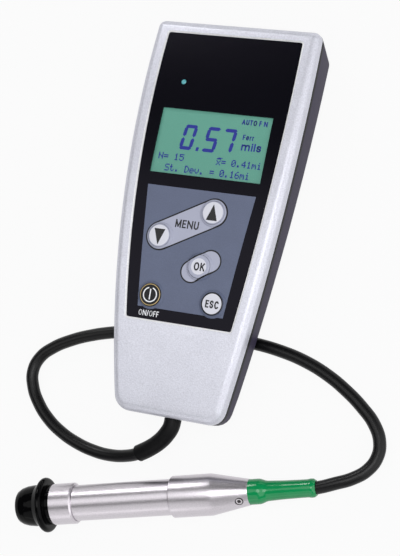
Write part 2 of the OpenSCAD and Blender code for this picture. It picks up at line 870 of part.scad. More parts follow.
// Compression spring between the plunger and its seat
module tip_spring() {
    turns = 6;
    steps = 12;
    wire_r = 0.35;
    coil_r = 3;
    from_x = plunger_x[1] + wire_r + 0.02;
    pitch = (seat_x[0] - plunger_x[1] - 2 * wire_r - 0.04) / turns;
    sides = 6;
    rings = turns * steps + 1;
    function wire(i, j) =
        let (a = 360 * i / steps, b = 360 * j / sides, r = coil_r + wire_r * cos(b))
        [from_x + pitch * i / steps + wire_r * sin(b), r * cos(a), r * sin(a)];
    color("silver")
        on_probe()
            polyhedron(
                points = [for (i = [0:rings - 1]) for (j = [0:sides - 1]) wire(i, j)],
                faces = concat(
                    [for (i = [0:rings - 2]) for (j = [0:sides - 1])
                        let (a = i * sides + j, b = i * sides + (j + 1) % sides)
                        each [[a, b, a + sides], [b, b + sides, a + sides]]],
                    [[for (j = [sides - 1:-1:0]) j],
                     [for (j = [0:sides - 1]) (rings - 1) * sides + j]]));
}

module spring_seat() {
    color("ivory")
        turned([[seat_x[0], 1.2], [seat_x[0], bore_r - 0.03], [seat_x[1], bore_r - 0.03], [seat_x[1], 1.2]]);
}

front_shell();
rear_shell();
overlay_panel();
keypad_sheet();
display_window();
lcd_glass();
lcd_frame();
main_board();
board_chips();
tact_switches();
key_up();
key_down();
key_ok();
key_power();
key_esc();
indicator_led();
board_screws();
case_screws();
battery_door();
battery_cells();
battery_contacts();
buzzer();
cable_connector();
cable_gland();
bend_sleeve();
probe_cable();
probe_cap();
cap_ring();
probe_collar();
probe_barrel();
probe_sleeve();
grub_screw();
cable_boot();
guide_bush();
contact_tip();
tip_plunger();
coil_bobbin();
sensor_coils();
tip_spring();
spring_seat();
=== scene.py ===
"""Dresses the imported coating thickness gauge: finishes, prints, display, cable and studio."""

import math

import bmesh
import bpy
from mathutils import Matrix, Vector


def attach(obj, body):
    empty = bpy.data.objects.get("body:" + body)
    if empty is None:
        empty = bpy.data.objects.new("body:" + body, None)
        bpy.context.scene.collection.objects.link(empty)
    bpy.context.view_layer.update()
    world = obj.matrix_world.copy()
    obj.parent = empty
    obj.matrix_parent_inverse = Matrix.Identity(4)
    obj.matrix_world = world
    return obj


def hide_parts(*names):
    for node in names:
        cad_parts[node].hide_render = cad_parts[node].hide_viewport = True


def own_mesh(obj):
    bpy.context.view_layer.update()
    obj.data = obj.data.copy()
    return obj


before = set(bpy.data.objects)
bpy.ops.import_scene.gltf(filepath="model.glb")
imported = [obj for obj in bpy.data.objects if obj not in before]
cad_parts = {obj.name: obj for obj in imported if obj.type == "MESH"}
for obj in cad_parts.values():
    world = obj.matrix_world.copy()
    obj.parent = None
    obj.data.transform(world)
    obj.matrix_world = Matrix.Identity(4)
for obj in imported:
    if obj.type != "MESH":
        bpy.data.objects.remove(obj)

bl_info = {
    "name": "Coating Gauge Dresser",
    "version": (1, 0, 0),
    "blender": (4, 5, 0),
    "location": "View3D > Sidebar > Gauge",
    "description": "Finishes, prints, display, cable and studio for the coating thickness gauge",
    "category": "Object",
}

for startup_name in ("Cube", "Light", "Camera"):
    startup_object = bpy.data.objects.get(startup_name)
    if startup_object is not None and startup_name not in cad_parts:
        bpy.data.objects.remove(startup_object)
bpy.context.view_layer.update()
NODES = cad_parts
MM = 0.001

# Forms of the housing, as in the part's source
HALF_W = 36.25 * MM
WIDE_Y = 53.5 * MM
SIDE_R = 690 * MM
CROWN_H = 26 * MM
FACE_R = 570 * MM
END_Y = 81.5 * MM
TOP_CORNER_R = 3 * MM
BOTTOM_CORNER_R = 7 * MM
EDGE_R = 3.2 * MM
PART_DEPTH = 6 * MM
SEAM = 0.5 * MM
WALL = 2 * MM
PANEL_TOP = 76 * MM
PANEL_BOTTOM = -44 * MM
PANEL_MARGIN = 6.4 * MM
PANEL_SINK = 0.3 * MM
PANEL_T = 0.8 * MM
PANEL_CORNER_R = 0.8 * MM
LEAST_CORNER_R = 0.6 * MM
LCD_Y = 29.7 * MM
LCD_SINK = 1.45 * MM

# Details of the silver shell, round the panel and inside
PART_BREAK = 0.15 * MM
LIP_FLAT = 0.5 * MM
PANEL_GAP = 0.1 * MM
PANEL_LEDGE = 2.5 * MM
PANEL_BED = 0.05 * MM
INNER_SLACK = 0.2 * MM

# Texture of the dark shell and its door
SHELL_GRAIN = 0.3 * MM
SHELL_DEPTH = 0.02 * MM
SHELL_EDGE = 0.25 * MM
SHELL_ROUGH = 0.46

# Keys and print, in millimetres; a lozenge has two centres and a radius
KEY_RISE = 0.8
KEYS = {
    "key_up": (7.2, 2.0),
    "key_down": (-14.2, -9.9),
    "key_ok": (5.3, -20.2),
    "key_power": (-13.6, -34.2),
    "key_esc": (13.5, -34.2),
}
LOZENGES = (((7.23, 1.99), (-14.22, -9.9), 5.76), ((2.01, -22.54), (9.48, -17.48), 4.44))
OUTLINE_HALF = 0.3
INK_EDGE = 0.08
PRINT_LOW = -0.05
PRINT_HIGH = 0.03

# Probe: contact tip, axis and the cable's way, in millimetres as in the part's source
PROBE_TIP = Vector((-60.3, -128.9, 11.8003))
PROBE_AXIS = Vector((0.969099, 0.243421, -0.039913))
SCREW_AT = PROBE_TIP + 97.2 * PROBE_AXIS
SCREW_AXIS = (0.18623, -0.61597, 0.76543)
SCREW_R = 1.32
SOCKET_R = 0.75
CABLE_EXIT = (0, -81.5, 10.4)
CABLE_WAY = [
    CABLE_EXIT, (0, -82.7, 10.4), (-0.3, -85, 10.3), (-1.6, -87.8, 10), (-4.3, -91.3, 9.3),
    (-8.7, -94.9, 8.2), (-13.6, -97.8, 6.8), (-20, -99.9, 5), (-28, -100.9, 3.5),
    (-36, -100.4, 2.8), (-44.1, -98.6, 2.6), (-52.2, -95.4, 2.6), (-59.3, -91, 2.6),
    (-65.3, -85.2, 2.6), (-69.5, -78.6, 2.6),
    (-71, -72, 2.6), (-68.9, -65.9, 2.6), (-63.8, -61, 2.6), (-56.3, -56.7, 2.6), (-47, -53, 2.6),
    (-36, -50, 2.6), (-22, -47.2, 2.6), (-6, -45.6, 2.6), (10, -45, 2.6), (25, -45.4, 2.6),
    (38, -46.9, 2.6), (49, -49.5, 2.6), (58.5, -53.2, 2.6), (67, -57.9, 2.6), (75.1, -63.7, 2.6),
    (81.3, -69.7, 2.7), (84.5, -75.8, 3), (84.8, -81.6, 3.7), (82.2, -87.2, 4.6),
    (77.2, -91.5, 5.5), (70.6, -94.8, 6.4),
    tuple(PROBE_TIP + 127.9 * PROBE_AXIS), tuple(PROBE_TIP + 118 * PROBE_AXIS),
]
SLEEVE_START = (0, -82.1, 10.4)
SLEEVE_POINTS = (1, 6)

# Camera of the photograph: place, and its right, up and backward directions as rows
CAMERA_AT = (0.24911, -0.08668, 0.61277)
CAMERA_ROWS = ((0.9152, 0.1835, -0.3588), (-0.1339, 0.9782, 0.1587), (0.3801, -0.0972, 0.9198))
FRAME_HEIGHT = 556
FOCAL_PIXELS = 1600
SENSOR = 36.0

# Studio, in metres: name, place, width and power setting of each lamp, then the floor
LAMPS = (
    ("overhead_light", (-0.42, -0.08, 1.0), 0.7, "key_power"),
    ("side_light", (1.0, -0.1, 0.75), 2.0, "side_power"),
    ("back_light", (-0.46, 0.6, 0.53), 0.3, "back_power"),
    ("front_light", (-0.12, -1.0, 0.55), 1.0, "front_power"),
    ("roof_light", (0.2, 0.0, 1.1), 0.6, "roof_power"),
)
LAMP_TARGET = Vector((0, -0.03, 0.01))
FLOOR_REACH = 3.0
BACKDROP_CURVE = 0.5
BACKDROP_HEIGHT = 0.8
FLOOR_GLOW = 0.93
FLOOR_STEPS = 64
CURVE_STEPS = 8

WELD_GAP = 2e-6

# Letters for a height of one: the gap between them, then the width of each and its strokes in a
# unit square
LETTER_GAP = 0.16
TURNS = [math.pi * i / 12 for i in range(25)]
ROUND = [(0.5 + 0.5 * math.cos(turn), 0.5 + 0.5 * math.sin(turn)) for turn in TURNS]
CURL = [(0.97, 0.8), (0.8, 0.96), (0.5, 1), (0.2, 0.95), (0.03, 0.78), (0.12, 0.6), (0.5, 0.5),
        (0.88, 0.4), (0.97, 0.22), (0.8, 0.05), (0.5, 0), (0.2, 0.04), (0.03, 0.2)]
LETTERS = {
    " ": (0.2, []),
    "/": (0.36, [[(0, 0), (1, 1)]]),
    "A": (0.8, [[(0, 0), (0.5, 1), (1, 0)], [(0.2, 0.32), (0.8, 0.32)]]),
    "C": (0.76, [ROUND[3:22]]),
    "E": (0.58, [[(1, 1), (0, 1), (0, 0), (1, 0)], [(0, 0.52), (0.88, 0.52)]]),
    "F": (0.55, [[(1, 1), (0, 1), (0, 0)], [(0, 0.5), (0.85, 0.5)]]),
    "K": (0.7, [[(0, 0), (0, 1)], [(0.95, 1), (0, 0.36)], [(0.36, 0.6), (1, 0)]]),
    "M": (0.86, [[(0, 0), (0, 1), (0.5, 0.1), (1, 1), (1, 0)]]),
    "N": (0.84, [[(0, 0), (0, 1), (1, 0), (1, 1)]]),
    "O": (0.8, [ROUND]),
    "S": (0.64, [CURL]),
    "T": (0.66, [[(0, 1), (1, 1)], [(0.5, 1), (0.5, 0)]]),
    "U": (0.7, [[(0, 1), (0, 0.28), (0.14, 0.08), (0.5, 0), (0.86, 0.08), (1, 0.28), (1, 1)]]),
    "e": (0.6, [[(0.03, 0.38), (1, 0.38), (0.93, 0.58), (0.7, 0.72), (0.4, 0.73), (0.12, 0.6),
                 (0.02, 0.38), (0.12, 0.12), (0.4, 0), (0.7, 0.02), (0.93, 0.16)]]),
    "i": (0.14, [[(0.5, 0), (0.5, 0.7)], [(0.5, 0.98), (0.5, 1)]]),
    "l": (0.14, [[(0.5, 0), (0.5, 1)]]),
    "m": (1.0, [[(0, 0), (0, 0.72)],
                [(0, 0.52), (0.12, 0.68), (0.3, 0.72), (0.45, 0.66), (0.5, 0.5), (0.5, 0)],
                [(0.5, 0.52), (0.62, 0.68), (0.8, 0.72), (0.95, 0.66), (1, 0.5), (1, 0)]]),
    "r": (0.36, [[(0, 0), (0, 0.72)], [(0, 0.45), (0.3, 0.66), (1, 0.72)]]),
    "s": (0.56, [[(x, 0.73 * y) for x, y in CURL]]),
}


def linear(red, green, blue):
    """Linear colour of an sRGB colour given from 0 to 255."""
    def straight(value):
        share = value / 255
        return share / 12.92 if share <= 0.04045 else ((share + 0.055) / 1.055) ** 2.4
    return (straight(red), straight(green), straight(blue))


def colour_property(name, description, red, green, blue):
    """A colour setting, given as sRGB from 0 to 255."""
    return bpy.props.FloatVectorProperty(
        name=name, description=description, subtype="COLOR", size=3, min=0, max=1,
        default=linear(red, green, blue))


def length_property(name, description, millimetres):
    """A length setting, given in millimetres."""
    return bpy.props.FloatProperty(
        name=name, description=description, unit="LENGTH", precision=5, min=0,
        default=millimetres * MM)


def power_property(name, description, watts):
    """A power setting in watts."""
    return bpy.props.FloatProperty(
        name=name, description=description, unit="POWER", min=0, default=watts)


class GaugeHousingLook(bpy.types.PropertyGroup):
    """Colours and edges of the two shells and the front panel."""

    silver: colour_property("Silver", "Satin paint of the front shell", 212, 213, 226)
    # The lip's colour is the silver paint made lighter: a painted highlight along the panel's edge.
    lip: colour_property("Lip", "Painted highlight on the lip round the panel", 236, 237, 243)
    dark: colour_property("Dark shell", "Moulded plastic of the rear shell", 48, 42, 64)
    panel: colour_property("Panel", "Black film of the front panel", 5, 5, 11)
    keypad: colour_property("Keypad", "Film of the keypad field", 95, 103, 127)
    lozenge: colour_property("Lozenge", "Pale print round the keys", 168, 171, 190)
    print_white: colour_property("White print", "White lettering", 232, 233, 238)
    print_black: colour_property("Black print", "Black lettering and outlines", 16, 16, 20)
    gold: colour_property("Gold print", "Ring round the power key", 196, 172, 122)
    key_white: colour_property("Key white", "Printed discs of the keys", 212, 213, 223)
    lip_round: length_property("Lip rounding", "Width of the rounding at the panel's lip", 0.25)
    # The black band under the parting line is painted shadow, the shade of the seam's gap; this is
    # its depth.
    painted_seam_shadow: length_property("Seam shadow", "Depth of the black line under the parting line", 2.2)


class GaugeDisplayLook(bpy.types.PropertyGroup):
    """Colours of the display and the lamp."""

    glass: colour_property("Display", "Lit green of the display", 92, 158, 140)
    ink: colour_property("Segments", "Dark segments of the display", 10, 32, 146)
    lamp: colour_property("Lamp", "Lens of the lamp", 84, 160, 168)


class GaugeProbeLook(bpy.types.PropertyGroup):
    """Colours of the probe and the cable."""

    metal: colour_property("Metal", "Turned light metal of the probe", 206, 201, 207)
    cap: colour_property("Cap", "Glossy black plastic of the cap", 4, 4, 5)
    boot: colour_property("Boot", "Glossy green of the strain relief", 0, 136, 76)
    jacket: colour_property("Cable", "Black jacket of the cable", 6, 6, 8)
    cable_d: length_property("Cable diameter", "Diameter of the cable", 5.2)
    sleeve_d: length_property("Sleeve diameter", "Diameter of the bend sleeve", 7.0)


class GaugeStudioLook(bpy.types.PropertyGroup):
    """Level of the studio's light."""

    floor: colour_property("Floor", "Pale floor", 190, 190, 192)
    key_power: power_property("Main light", "Power of the large light overhead", 1.65)
    side_power: power_property("Side light", "Power of the wide light at the right", 13.5)
    back_power: power_property("Back light", "Power of the light at the left, behind", 1.7)
    front_power: power_property("Front light", "Power of the wide light in front", 2.2)
    roof_power: power_property("Roof light", "Power of the light over the right edge", 3.6)
    sky: bpy.props.FloatProperty(
        name="Sky", description="Strength of the surrounding light", subtype="FACTOR", min=0,
        default=0.12)


class Wire:
    """An output socket that takes part in sums: an expression adds its Math nodes."""

    def __init__(self, tree, socket):
        self.tree = tree
        self.socket = socket

    def calc(self, operation, *values, clamp=False):
        math_node = self.tree.nodes.new("ShaderNodeMath")
        math_node.operation = operation
        math_node.use_clamp = clamp
        for place, value in enumerate(values):
            if isinstance(value, Wire):
                self.tree.links.new(value.socket, math_node.inputs[place])
            else:
                math_node.inputs[place].default_value = value
        return Wire(self.tree, math_node.outputs[0])

    def __add__(self, other):
        return self.calc("ADD", self, other)

    __radd__ = __add__

    def __sub__(self, other):
        return self.calc("SUBTRACT", self, other)

    def __rsub__(self, other):
        return self.calc("SUBTRACT", other, self)

    def __mul__(self, other):
        return self.calc("MULTIPLY", self, other)

    __rmul__ = __mul__

    def __truediv__(self, other):
        return self.calc("DIVIDE", self, other)

    def __rtruediv__(self, other):
        return self.calc("DIVIDE", other, self)

    def root(self):
        return self.calc("SQRT", self)

    def sine(self):
        return self.calc("SINE", self)

    def size(self):
        return self.calc("ABSOLUTE", self)

    def held(self):
        """The value kept from 0 to 1."""
        return self.calc("ADD", self, 0.0, clamp=True)

    def below(self, limit, soft):
        """1 where the value is under the limit and 0 over it, with a soft edge."""
        return ((limit - self) / soft + 0.5).held()


class Finish:
    """A procedural material, or the world, and the nodes that it is made of."""

    def __init__(self, name, library="materials"):
        self.block = getattr(bpy.data, library).new(name)
        self.block.use_nodes = True
        self.tree = self.block.node_tree
        self.tree.nodes.clear()

    def node(self, kind, settings=None, sockets=None, out=0):
        """A node of any kind: its settings first, then its sockets' values or links."""
        made = self.tree.nodes.new(kind)
        for key, value in (settings or {}).items():
            setattr(made, key, value)
        for key, value in (sockets or {}).items():
            if isinstance(value, Wire):
                self.tree.links.new(value.socket, made.inputs[key])
            elif made.inputs[key].type == "RGBA":
                made.inputs[key].default_value = (*value[:3], 1.0)
            else:
                made.inputs[key].default_value = value
        return Wire(self.tree, made.outputs[out]) if made.outputs else None

    def place(self):
        """Position in the row frame, in metres."""
        return self.node("ShaderNodeTexCoord", out="Object")

    def outputs(self, kind, sockets=None):
        """All the outputs of a new node, by name."""
        first = self.node(kind, None, sockets)
        return {socket.name: Wire(self.tree, socket) for socket in first.socket.node.outputs}

    def axes(self):
        """The three numbers of the place."""
        return self.outputs("ShaderNodeSeparateXYZ", {"Vector": self.place()}).values()

    def plan(self):
        """Place in the plan, in millimetres."""
        x, y, _ = self.axes()
        return x / MM, y / MM

    def grain(self, size, detail=3.0, vector=None):
        """Noise whose spots are about that many metres across."""
        return self.node(
            "ShaderNodeTexNoise", {"noise_dimensions": "3D"},
            {"Vector": vector or self.place(), "Scale": 1 / size, "Detail": detail,
             "Roughness": 0.55})

    def mottle(self, size, detail, cloud, share):
        """Fine grain, and the same in a share with large clouds."""
        fine = self.grain(size, detail)
        return fine, (fine * share + self.grain(cloud, 2.0) * (1 - share)).held()

    def vectors(self, operation, first, second):
        """Vector worked out from two vectors."""
        return self.node("ShaderNodeVectorMath", {"operation": operation}, {0: first, 1: second})

    def along(self, direction, vector=None):
        """Distance along a direction."""
        return self.node(
            "ShaderNodeVectorMath", {"operation": "DOT_PRODUCT"},
            {0: vector or self.place(), 1: direction}, out="Value")

    def mix(self, share, first, second):
        """Colour between two colours."""
        return self.node(
            "ShaderNodeMix", {"data_type": "RGBA"}, {0: share, 6: first, 7: second}, out=2)

    def tinted(self, colour, share, low, high):
        """A colour that varies from low to high times itself with a share from 0 to 1."""
        dark = tuple(min(1.0, part * low) for part in colour)
        light = tuple(min(1.0, part * high) for part in colour)
        return self.mix(share, dark, light)

    def bump(self, height, depth, edge=0.0):
        """Normal of a height from 0 to 1 times a depth in metres, over rounded edges."""
        sockets = {"Height": height, "Distance": depth, "Strength": 1.0}
        if edge:
            sockets["Normal"] = self.node("ShaderNodeBevel", {"samples": 4}, {"Radius": edge})
        return self.node("ShaderNodeBump", None, sockets)

    def shade(self, **sockets):
        """Principled surface from the values or links of its sockets."""
        named = {key.replace("_", " "): value for key, value in sockets.items()}
        surface = self.node("ShaderNodeBsdfPrincipled", None, named)
        self.node("ShaderNodeOutputMaterial", None, {"Surface": surface})
        return self.block


def face_z(y):
    """Height of the arched front face."""
    return CROWN_H - FACE_R + math.sqrt(FACE_R * FACE_R - y * y)


def on_face(u, v, w):
    """Row frame point at a place on the arched face, raised by w."""
    return (u, v, face_z(v) + w)


def on_display(u, v, w):
    """Row frame point on the flat display, raised by w."""
    tilt = math.asin(LCD_Y / FACE_R)
    along = v - LCD_Y
    up = w - LCD_SINK
    return (u, LCD_Y + along * math.cos(tilt) + up * math.sin(tilt),
            face_z(LCD_Y) - along * math.sin(tilt) + up * math.cos(tilt))


def settle(obj, finishes, body, slot):
    """Gives a new piece its finishes and body; the slot is not used."""
    for finish in finishes:
        obj.data.materials.append(finish)
    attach(obj, body)


def add(name, data):
    """A new object in the scene."""
    obj = bpy.data.objects.new(name, data)
    bpy.context.scene.collection.objects.link(obj)
    return obj


def new_piece(name, points, faces, smooth=True):
    """A mesh object from points in the row frame."""
    mesh = bpy.data.meshes.new(name)
    mesh.from_pydata(points, [], faces)
    mesh.polygons.foreach_set("use_smooth", [smooth] * len(mesh.polygons))
    mesh.update()
    return add(name, mesh)


def ring_faces(first, second, count):
    """Quads between two closed rings of points, each given by the number of its first point."""
    return [(first + i, first + (i + 1) % count, second + (i + 1) % count, second + i)
            for i in range(count)]


def split_edges(obj, degrees):
    """Keeps edges sharper than an angle crisp under smooth shading."""
    modifier = obj.modifiers.new("crisp_edges", "EDGE_SPLIT")
    modifier.split_angle = math.radians(degrees)


def dress(node, finish, crisp=32):
    """Gives a CAD node its finish, and smooth shading between its sharp edges."""
    obj = NODES[node]
    obj.data.materials.clear()
    obj.data.materials.append(finish)
    for attribute in ("custom_normal", "sharp_face", "sharp_edge"):
        if attribute in obj.data.attributes:
            obj.data.attributes.remove(obj.data.attributes[attribute])
    obj.data.polygons.foreach_set("material_index", [0] * len(obj.data.polygons))
    weld = obj.modifiers.new("weld", "WELD")
    weld.merge_threshold = WELD_GAP
    split_edges(obj, crisp)
    return obj


def prism(name, outlines, place, low=PRINT_LOW, high=PRINT_HIGH):
    """Flat plates from plan outlines, in millimetres, between two heights of a place."""
    points = []
    faces = []
    for outline in outlines:
        first = len(points)
        count = len(outline)
        points += [place(x * MM, y * MM, low * MM) for x, y in outline]
        points += [place(x * MM, y * MM, high * MM) for x, y in outline]
        faces.append([first + i for i in range(count)][::-1])
        faces.append([first + count + i for i in range(count)])
        faces += ring_faces(first, first + count, count)
    obj = new_piece(name, points, faces, smooth=False)
    build = bmesh.new()
    build.from_mesh(obj.data)
    bmesh.ops.recalc_face_normals(build, faces=build.faces)
    build.to_mesh(obj.data)
    build.free()
    return obj


def lettering(name, words, left, base, width, height, thick, place, low=PRINT_LOW, high=PRINT_HIGH):
    """Words drawn with strokes of one thickness, fitted to a width and height in millimetres."""
    gap = LETTER_GAP * height
    natural = sum(LETTERS[letter][0] * height for letter in words) + gap * (len(words) - 1)
    stretch = width / natural
    plates = []
    for letter in words:
        wide, strokes = LETTERS[letter]
        reach = max(wide * height * stretch - thick, 0)
        for stroke in strokes:
            points = [Vector((left + x * reach, base + y * (height - thick))) for x, y in stroke]
            points = [point + Vector((thick / 2, thick / 2)) for point in points]
            for start, end in zip(points, points[1:]):
                along = (end - start).normalized() * thick / 2
                across = Vector((-along.y, along.x))
                plates.append([start - along - across, end + along - across,
                               end + along + across, start - along + across])
        left += (wide * height + gap) * stretch
    return prism(name, plates, place, low, high)


def half_outline(inset, top, bottom, r_top, r_bottom, corner_steps=9, side_steps=44):
    """Right half of a plan outline from the display end down, as in the part's source."""
    def side_x(y, depth):
        return HALF_W - SIDE_R + math.sqrt((SIDE_R - depth) ** 2 - (y - WIDE_Y) ** 2)

    def corner(y, radius, first, last):
        x = side_x(y, inset + radius)
        angles = [first + (last - first) * i / corner_steps for i in range(corner_steps + 1)]
        return [(x + radius * math.cos(angle), y + radius * math.sin(angle)) for angle in angles]

    lean_top = math.asin((top - r_top - WIDE_Y) / (SIDE_R - inset - r_top))
    lean_bottom = math.asin((bottom + r_bottom - WIDE_Y) / (SIDE_R - inset - r_bottom))
    upper = corner(top - r_top, r_top, math.pi / 2, lean_top)
    lower = corner(bottom + r_bottom, r_bottom, lean_bottom, -math.pi / 2)
    sides = []
    for i in range(1, side_steps):
        y = upper[-1][1] + (lower[0][1] - upper[-1][1]) * i / side_steps
        sides.append((side_x(y, inset), y))
    return upper + sides + lower


def housing_outline(inset):
    """Right half of the housing's outline, moved inwards."""
    return half_outline(inset, END_Y - inset, inset - END_Y,
                        max(TOP_CORNER_R - inset, LEAST_CORNER_R),
                        max(BOTTOM_CORNER_R - inset, LEAST_CORNER_R))


def panel_outline(grow):
    """Right half of the panel's outline, moved outwards."""
    corner = PANEL_CORNER_R + max(grow, 0)
    return half_outline(PANEL_MARGIN - grow, PANEL_TOP + grow, PANEL_BOTTOM - grow, corner, corner)


def face_ring(half, drop):
    """Closed ring through a half outline and its mirror image, a drop below the face."""
    whole = half + [(-x, y) for x, y in reversed(half)]
    return [(x, y, face_z(y) - drop) for x, y in whole]


def blend_outline(first, second, share):
    """Outline that lies between two outlines of as many points."""
    return [(x + (x_to - x) * share, y + (y_to - y) * share)
            for (x, y), (x_to, y_to) in zip(first, second)]


def silver_paint(colour, name):
    """Satin metallic paint: fine flakes and a slight skin."""
    finish = Finish(name)
    flakes, shade = finish.mottle(0.55 * MM, 3.0, 14 * MM, 0.8)
    return finish.shade(
        Base_Color=finish.tinted(colour, shade, 0.62, 1.36), Metallic=0.4,
        Roughness=0.33 + 0.12 * flakes, Normal=finish.bump(flakes, 0.06 * MM))


def eroded(finish, colour, grain):
    """Pits of a moulded surface, from 0 to 1, and a colour that varies with them."""
    pits, shade = finish.mottle(grain, 4.0, 18 * MM, 0.6)
    return pits, finish.tinted(colour, shade, 0.82, 1.2)


def moulded_plastic(name, colour, grain, depth, rough, edge=0.0):
    """Moulded plastic with an eroded texture."""
    finish = Finish(name)
    pits, tint = eroded(finish, colour, grain)
    return finish.shade(Base_Color=tint, Roughness=rough + 0.14 * pits,
                        Normal=finish.bump(pits, depth, edge))


def glossy_plastic(name, colour, rough, specular, edge=0.12 * MM):
    """Smooth moulded plastic with faint flow marks."""
    finish = Finish(name)
    flow = finish.grain(6 * MM, 3.0)
    fine = finish.grain(0.4 * MM, 2.0)
    return finish.shade(
        Base_Color=finish.tinted(colour, flow, 0.85, 1.18), Roughness=rough + 0.12 * fine * flow,
        Specular_IOR_Level=specular, Normal=finish.bump(flow, 0.008 * MM, edge))


def turned_metal(name, colour, rough, edge=0.0):
    """Metal turned on a lathe: rings across the probe's axis and a dull bloom."""
    finish = Finish(name)
    station = finish.along(tuple(PROBE_AXIS))
    rings = finish.node("ShaderNodeTexNoise", {"noise_dimensions": "1D"},
                        {"W": station / (0.18 * MM), "Scale": 1.0, "Detail": 4.0, "Roughness": 0.7})
    bloom = finish.grain(0.6 * MM, 4.0)
    shade = (rings * 0.35 + bloom * 0.65).held()
    relief = rings * 0.3 + bloom * 0.7
    return finish.shade(
        Base_Color=finish.tinted(colour, shade, 0.7, 1.25), Metallic=1.0,
        Roughness=rough + 0.12 * bloom, Normal=finish.bump(relief, 0.025 * MM, edge))


def plain_metal(name, colour, rough):
    """Bright stamped or drawn metal with faint scratches."""
    finish = Finish(name)
    drawn_out = finish.vectors("MULTIPLY", finish.place(), (1.0, 0.12, 1.0))
    scratches = finish.grain(0.3 * MM, 5.0, drawn_out)
    return finish.shade(
        Base_Color=finish.tinted(colour, scratches, 0.85, 1.1), Metallic=1.0,
        Roughness=rough + 0.2 * scratches, Normal=finish.bump(scratches, 0.006 * MM))


def print_ink(name, colour):
    """Screen printing ink with a slightly uneven film."""
    finish = Finish(name)
    film = finish.grain(0.5 * MM, 3.0)
    return finish.shade(
        Base_Color=finish.tinted(colour, film, 0.9, 1.1), Roughness=0.45 + 0.1 * film,
        Normal=finish.bump(film, 0.004 * MM))


def hypotenuse(across, upward):
    return (across * across + upward * upward).root()


def capsule_distance(finish, start, end):
    """Distance in millimetres from a line between two points of the plan."""
    x, y = finish.plan()
    run = (end[0] - start[0], end[1] - start[1])
    square = run[0] ** 2 + run[1] ** 2
    share = (((x - start[0]) * run[0] + (y - start[1]) * run[1]) / square).held()
    return hypotenuse(x - start[0] - share * run[0], y - start[1] - share * run[1])


def disc_distance(finish, centre):
    """Distance in millimetres from a point of the plan."""
    x, y = finish.plan()
    return hypotenuse(x - centre[0], y - centre[1])


def printed_film(name, look, rough, specular, depth, centre=(0, 0), bands=()):
    """Film with the keypad's outlined lozenges, and round bands on top, outermost first."""
    finish = Finish(name)
    _, texture = finish.mottle(0.45 * MM, 3.0, 9 * MM, 0.7)
    colour = finish.tinted(look.keypad, texture, 0.72, 1.26)
    lozenge = finish.tinted(look.lozenge, texture, 0.95, 1.05)
    for start, end, radius in LOZENGES:
        distance = capsule_distance(finish, start, end)
        colour = finish.mix(distance.below(radius, INK_EDGE), colour, lozenge)
        outline = (distance - radius).size().below(OUTLINE_HALF, INK_EDGE)
        colour = finish.mix(outline, colour, look.print_black)
    for radius, ink in bands:
        colour = finish.mix(disc_distance(finish, centre).below(radius, INK_EDGE), colour, ink)
    return finish.shade(Base_Color=colour, Roughness=rough + 0.12 * texture,
                        Specular_IOR_Level=specular, Normal=finish.bump(texture, depth))


class GAUGE_OT_stage(bpy.types.Operator):
    """Sets up the floor, the studio light and the camera"""

    bl_idname = "gauge.stage"
    bl_label = "Stage"

    def execute(self, context):
        look = context.scene.gauge_studio
        scene = context.scene
        scene.view_settings.view_transform = "Standard"
        self.floor(look)
        self.sky(scene, look)
        for name, at, size, power in LAMPS:
            self.lamp(name, at, size, getattr(look, power))
        self.camera(scene)
        return {"FINISHED"}

    def floor(self, look):
        """Round floor whose rim curves up into a backdrop, white to the camera and in mirrors."""
        rises = [math.pi / 2 * i / CURVE_STEPS for i in range(CURVE_STEPS + 1)]
        profile = [(FLOOR_REACH - BACKDROP_CURVE * (1 - math.sin(rise)),
                    BACKDROP_CURVE * (1 - math.cos(rise))) for rise in rises]
        profile.append((FLOOR_REACH, BACKDROP_HEIGHT))
        turns = [2 * math.pi * i / FLOOR_STEPS for i in range(FLOOR_STEPS)]
        points = [(radius * math.cos(turn), radius * math.sin(turn), height)
                  for radius, height in profile for turn in turns]
        faces = [list(range(FLOOR_STEPS))]
        for row in range(len(profile) - 1):
            faces += ring_faces((row + 1) * FLOOR_STEPS, row * FLOOR_STEPS, FLOOR_STEPS)
        floor = new_piece("floor", points, faces, smooth=False)
        finish = Finish("pale_floor")
        mottle = finish.grain(0.2, 2.0)
        matte = finish.node("ShaderNodeBsdfDiffuse", None,
                            {"Color": finish.tinted(look.floor, mottle, 0.99, 1.01)})
        glow = finish.node("ShaderNodeEmission", None, {"Color": (1.0, 1.0, 1.0), "Strength": 1.0})
        rays = finish.outputs("ShaderNodeLightPath")
        seen = rays["Is Camera Ray"] + rays["Is Glossy Ray"] + rays["Is Transmission Ray"]
        surface = finish.node("ShaderNodeMixShader", None,
                              {0: seen.held() * FLOOR_GLOW, 1: matte, 2: glow})
        finish.node("ShaderNodeOutputMaterial", None, {"Surface": surface})
        floor.data.materials.append(finish.block)

    def sky(self, scene, look):
        """Even, weak light from all round."""
        studio = Finish("studio", "worlds")
        background = studio.node("ShaderNodeBackground", None,
                                 {"Color": (1.0, 1.0, 1.0), "Strength": look.sky})
        studio.node("ShaderNodeOutputWorld", None, {"Surface": background})
        scene.world = studio.block

    def lamp(self, name, at, size, power):
        """Round lamp that faces the gauge."""
        light = bpy.data.lights.new(name, "AREA")
        light.shape = "DISK"
        light.size = size
        light.energy = power
        obj = add(name, light)
        obj.location = at
        obj.visible_camera = False
        obj.rotation_euler = (LAMP_TARGET - Vector(at)).to_track_quat("-Z", "Y").to_euler()

    def camera(self, scene):
        """Camera at the photograph's angle."""
        lens = bpy.data.cameras.new("view")
        lens.sensor_fit = "VERTICAL"
        lens.sensor_height = SENSOR
        lens.lens = FOCAL_PIXELS / FRAME_HEIGHT * SENSOR
        lens.clip_start = 0.01
        view = add("view", lens)
        turn = Matrix(CAMERA_ROWS).transposed().to_4x4()
        view.matrix_world = Matrix.Translation(CAMERA_AT) @ turn
        scene.camera = view


